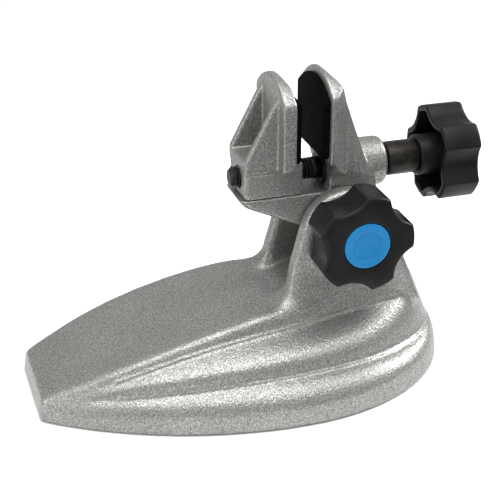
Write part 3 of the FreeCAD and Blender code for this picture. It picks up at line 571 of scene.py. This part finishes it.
def knob(node, axis, centre, rim_place, hub_length, lobe_angle):
    """A moulded knob. Places along its axis count from the rim plane at the back."""
    rings = []

    def ring(place, radius):
        rings.append(((rim_place + place) * MM, radius if callable(radius) else radius * MM))

    socket_end = KNOB_DEPTH - CAP_SEAT - 1.5
    ring(socket_end, 0)
    ring(socket_end, SOCKET_RADIUS)
    ring(0.3 - hub_length, SOCKET_RADIUS)
    for place, radius in ((-hub_length, SOCKET_RADIUS + 0.3), (-hub_length, HUB_RADIUS - 0.7)):
        ring(place, radius)
    for place, radius in ((0.12, HUB_RADIUS - 0.3), (0.35, HUB_RADIUS - 0.08), (0.7, HUB_RADIUS)):
        ring(place - hub_length, radius)
    for place, radius in ((-1.2, HUB_RADIUS), (-0.4, HUB_RADIUS + 0.3), (0, HUB_RADIUS + 1.0)):
        ring(KNOB_HOLLOW + place, radius)
    for place, inset in ((0, 1.0), (-0.3, 0.3), (-1.0, 0.0)):
        ring(KNOB_HOLLOW + place, lobed(KNOB_WALL + inset, lobe_angle))
    for place, inset in ((0.8, 0.0), (0.25, -0.2), (0.0, -0.7)):
        ring(place, lobed(KNOB_WALL + inset, lobe_angle))
    for place, inset in ((0.0, 0.8), (0.2, 0.25), (0.7, 0.0), (KNOB_DEPTH / 2, 0.0)):
        ring(place, lobed(inset, lobe_angle))
    for step in range(9):
        turn = math.radians(11.25 * step)
        place = KNOB_DEPTH - CROWN_ROUND * (1 - math.sin(turn))
        ring(place, lobed(CROWN_ROUND * (1 - math.cos(turn)), lobe_angle))
    ring(KNOB_DEPTH, lobed(CROWN_ROUND + 1.0, lobe_angle, 2.0))
    for place, radius in ((0, 0.75), (-0.1, 0.3), (-0.35, 0.1), (-CAP_SEAT, 0.1)):
        ring(KNOB_DEPTH + place, CAP_RADIUS + radius)
    ring(KNOB_DEPTH - CAP_SEAT, 0)
    place_piece(wound(node, axis, centre, rings, 300), node, "black_plastic")


def cap(node, axis, centre, seat_place):
    """A pressed-in cap: a crowned ring round a sunken dish. Its profile counts from the seat in millimetres."""
    profile = [
        (0.0, 0.0),
        (0.0, 8.35),
        (0.15, 8.5),
        (1.25, 8.5),
        (1.55, 8.38),
        (1.75, 8.1),
        (1.86, 7.6),
        (1.9, 7.0),
        (1.88, 6.4),
        (1.8, 5.95),
        (1.62, 5.65),
        (1.35, 5.45),
        (1.12, 5.25),
        (1.02, 4.9),
        (1.0, 4.2),
        (1.0, 2.0),
        (1.0, 0.0),
    ]
    rings = [((seat_place + place) * MM, radius * MM) for place, radius in profile]
    place_piece(wound(node, axis, centre, rings, 120), node, "blue_cap")


def ring_piece(node, axis, centre, ends, outer, chamfer, slot_name):
    """A washer or sleeve round an M8 bore, with broken edges. Its ends are places along its axis in millimetres."""
    start, end = ends
    profile = [
        (start + chamfer, outer),
        (end - chamfer, outer),
        (end - 0.3 * chamfer, outer - 0.3 * chamfer),
        (end, outer - chamfer),
        (end, BORE_RADIUS + BORE_BREAK),
        (end - BORE_BREAK, BORE_RADIUS),
        (start + BORE_BREAK, BORE_RADIUS),
        (start, BORE_RADIUS + BORE_BREAK),
        (start, outer - chamfer),
        (start + 0.3 * chamfer, outer - 0.3 * chamfer),
    ]
    rings = [(place * MM, radius * MM) for place, radius in profile]
    place_piece(wound(node, axis, centre, rings, 96, hollow=True), node, slot_name)


def middle_line(node):
    """The point at the node's middle height on the stand's middle plane, which its axis passes through."""
    low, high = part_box(node)
    return Vector((0, 0, (low.z + high.z) / 2))


def half_height(node):
    low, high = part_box(node)
    return (high.z - low.z) / 2 / MM


def reach_along(node, axis):
    low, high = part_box(node)
    return low[axis] / MM, high[axis] / MM


CLAMP_AXIS = (1, 0, 0)
TILT_AXIS = (0, -1, 0)
BOLT_AXIS = (0, 1, 0)
CLAMP_HUB = 4.9
TILT_HUB = 1.0
CLAMP_LOBE_ANGLE = math.radians(-20)
TILT_LOBE_ANGLE = math.radians(-13)

clamp_line = middle_line("clamp_sleeve")
tilt_line = middle_line("tilt_bolt_washer")
clamp_back = reach_along("clamp_knob", 0)[0] + CLAMP_HUB
tilt_back = -reach_along("tilt_knob", 1)[1] + TILT_HUB
knob("clamp_knob", CLAMP_AXIS, clamp_line, clamp_back, CLAMP_HUB, CLAMP_LOBE_ANGLE)
knob("tilt_knob", TILT_AXIS, tilt_line, tilt_back, TILT_HUB, TILT_LOBE_ANGLE)
cap("clamp_knob_cap", CLAMP_AXIS, clamp_line, clamp_back + KNOB_DEPTH - CAP_SEAT)
cap("tilt_knob_cap", TILT_AXIS, tilt_line, tilt_back + KNOB_DEPTH - CAP_SEAT)

sleeve_ends = reach_along("clamp_sleeve", 0)
ring_piece("clamp_sleeve", CLAMP_AXIS, clamp_line, sleeve_ends, half_height("clamp_sleeve"), 0.7, "black_steel")
for washer in ("tilt_knob_washer", "tilt_bolt_washer"):
    washer_ends = reach_along(washer, 1)
    ring_piece(washer, BOLT_AXIS, tilt_line, washer_ends, half_height(washer), 0.25, "zinc_steel")


THREAD_PITCH = 1.25
THREAD_DEPTH = 0.74
SLICES_PER_TURN = 14
CREST_SHARE = 0.25
FLANK_SHARE = 0.62
RUN_OUT_START = 4.0
RUN_OUT_LENGTH = 1.5
SHANK_START = 2.4
TIP_RADIUS = 2.75
TIP_SLOPE = 0.9
GROOVE_RADIUS = 2.5


def screw_thread():
    """The clamp screw: a right-hand thread with a chamfered tip, a groove for its retainer and a plain shank."""
    tip, tail = reach_along("clamp_screw", 0)
    crest = half_height("clamp_screw")
    groove_start, groove_end = reach_along("clamp_retainer", 0)

    def thread(place):
        def radius(angle):
            phase = (place / THREAD_PITCH - angle / (2 * math.pi)) % 1
            height = min(max((abs(phase - 0.5) * 2 - CREST_SHARE) / FLANK_SHARE, 0), 1)
            run_out = min(max((place - groove_start + RUN_OUT_START) / RUN_OUT_LENGTH, 0), 1)
            full = crest - THREAD_DEPTH * (1 - height) * (1 - run_out)
            return min(full, TIP_RADIUS + TIP_SLOPE * (place - tip)) * MM

        return radius

    rings = [(tip * MM, 0), (tip * MM, 1.0 * MM), (tip * MM, 2.3 * MM)]
    count = int((groove_start - SHANK_START - tip) / THREAD_PITCH * SLICES_PER_TURN)
    for step in range(count):
        place = tip + 0.03 + step * THREAD_PITCH / SLICES_PER_TURN
        rings.append((place * MM, thread(place)))
    for place, radius in (
        (groove_start, crest),
        (groove_start, GROOVE_RADIUS),
        (groove_end, GROOVE_RADIUS),
        (groove_end, crest),
        (tail - 0.4, crest),
        (tail, crest - 0.4),
        (tail, 0),
    ):
        rings.append((place * MM, radius * MM))
    place_piece(wound("clamp_screw", CLAMP_AXIS, clamp_line, rings, 64), "clamp_screw", "black_steel")


SHANK_RADIUS = 3.95
HEAD_SLICES = 12
CHAMFER_SLOPE = 1.73


def hex_bolt():
    """The tilt bolt: a chamfered hexagon head on the far side and a shank that ends in the knob's insert."""
    end, top = reach_along("tilt_bolt", 1)
    flat = half_height("tilt_bolt")
    seat = reach_along("tilt_bolt_washer", 1)[1]

    def head(place):
        def radius(angle):
            turn = (angle + math.pi / 6) % (math.pi / 3) - math.pi / 6
            top_cone = flat * 0.95 + CHAMFER_SLOPE * (top - place)
            seat_cone = flat * 1.02 + CHAMFER_SLOPE * (place - seat)
            return min(flat / math.cos(turn), top_cone, seat_cone) * MM

        return radius

    rings = [(top * MM, 0), (top * MM, 0.5 * flat * MM), (top * MM, 0.9 * flat * MM)]
    for step in range(HEAD_SLICES + 1):
        place = top - (top - seat) * step / HEAD_SLICES
        rings.append((place * MM, head(place)))
    for place, radius in ((seat, SHANK_RADIUS), (end + 0.5, SHANK_RADIUS), (end, SHANK_RADIUS - 0.5), (end, 0)):
        rings.append((place * MM, radius * MM))
    place_piece(wound("tilt_bolt", BOLT_AXIS, tilt_line, rings, 144), "tilt_bolt", "zinc_steel")


screw_thread()
hex_bolt()


def floor_piece(name, corners, faces, in_gloss):
    """Part of the floor plane, seen or not in the object's gloss."""
    mesh = bpy.data.meshes.new(name)
    mesh.from_pydata([(x, y, 0) for x, y in corners], [], faces)
    mesh.materials.append(floor_finish)
    floor = bpy.data.objects.new(name, mesh)
    bpy.context.scene.collection.objects.link(floor)
    floor.visible_glossy = in_gloss


floor_finish = Shader("floor").finish(Base_Color=(0.93, 0.93, 0.93, 1), Roughness=0.9)
near_corners = [(-0.20, -0.12), (0.12, -0.12), (0.12, 0.12), (-0.20, 0.12)]
far_corners = [(-3, -3), (3, -3), (3, 3), (-3, 3)]
frame_faces = [(k, k + 4, (k + 1) % 4 + 4, (k + 1) % 4) for k in range(4)]
floor_piece("floor_near", near_corners, [(0, 1, 2, 3)], True)
floor_piece("floor_far", near_corners + far_corners, frame_faces, False)
